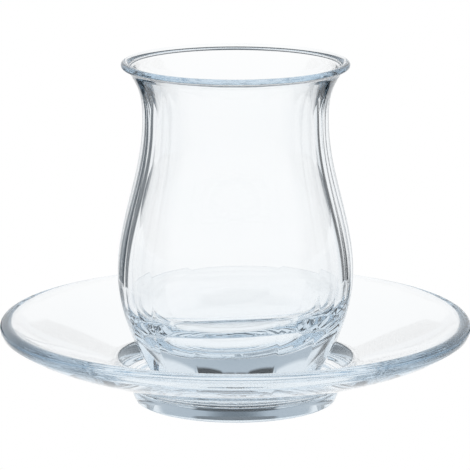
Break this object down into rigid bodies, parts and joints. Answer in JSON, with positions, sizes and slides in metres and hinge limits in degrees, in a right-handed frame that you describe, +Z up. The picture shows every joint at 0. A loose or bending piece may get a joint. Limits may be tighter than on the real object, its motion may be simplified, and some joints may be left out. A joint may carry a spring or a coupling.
{
  "type": "turkish tea glass with saucer",
  "caption": "Clear waisted tea glass with upright flutes and a flared rim, standing in the well of a clear round saucer on a ring foot.",
  "frame": {"origin": "centre of the saucer's foot ring, on the table", "axes": "+Z up along the axis of the glass and the saucer; -Y towards the viewer, through a ridge between two flutes"},
  "size_m": [0.13, 0.13, 0.0946],
  "materials": {
    "cup_glass": "clear, fire polished, faint cool tint",
    "saucer_glass": "clear, pressed and smooth, faint cool tint"
  },
  "bodies": {
    "root": {"glass": "cup_glass", "saucer": "saucer_glass"}
  },
  "joints": []
}
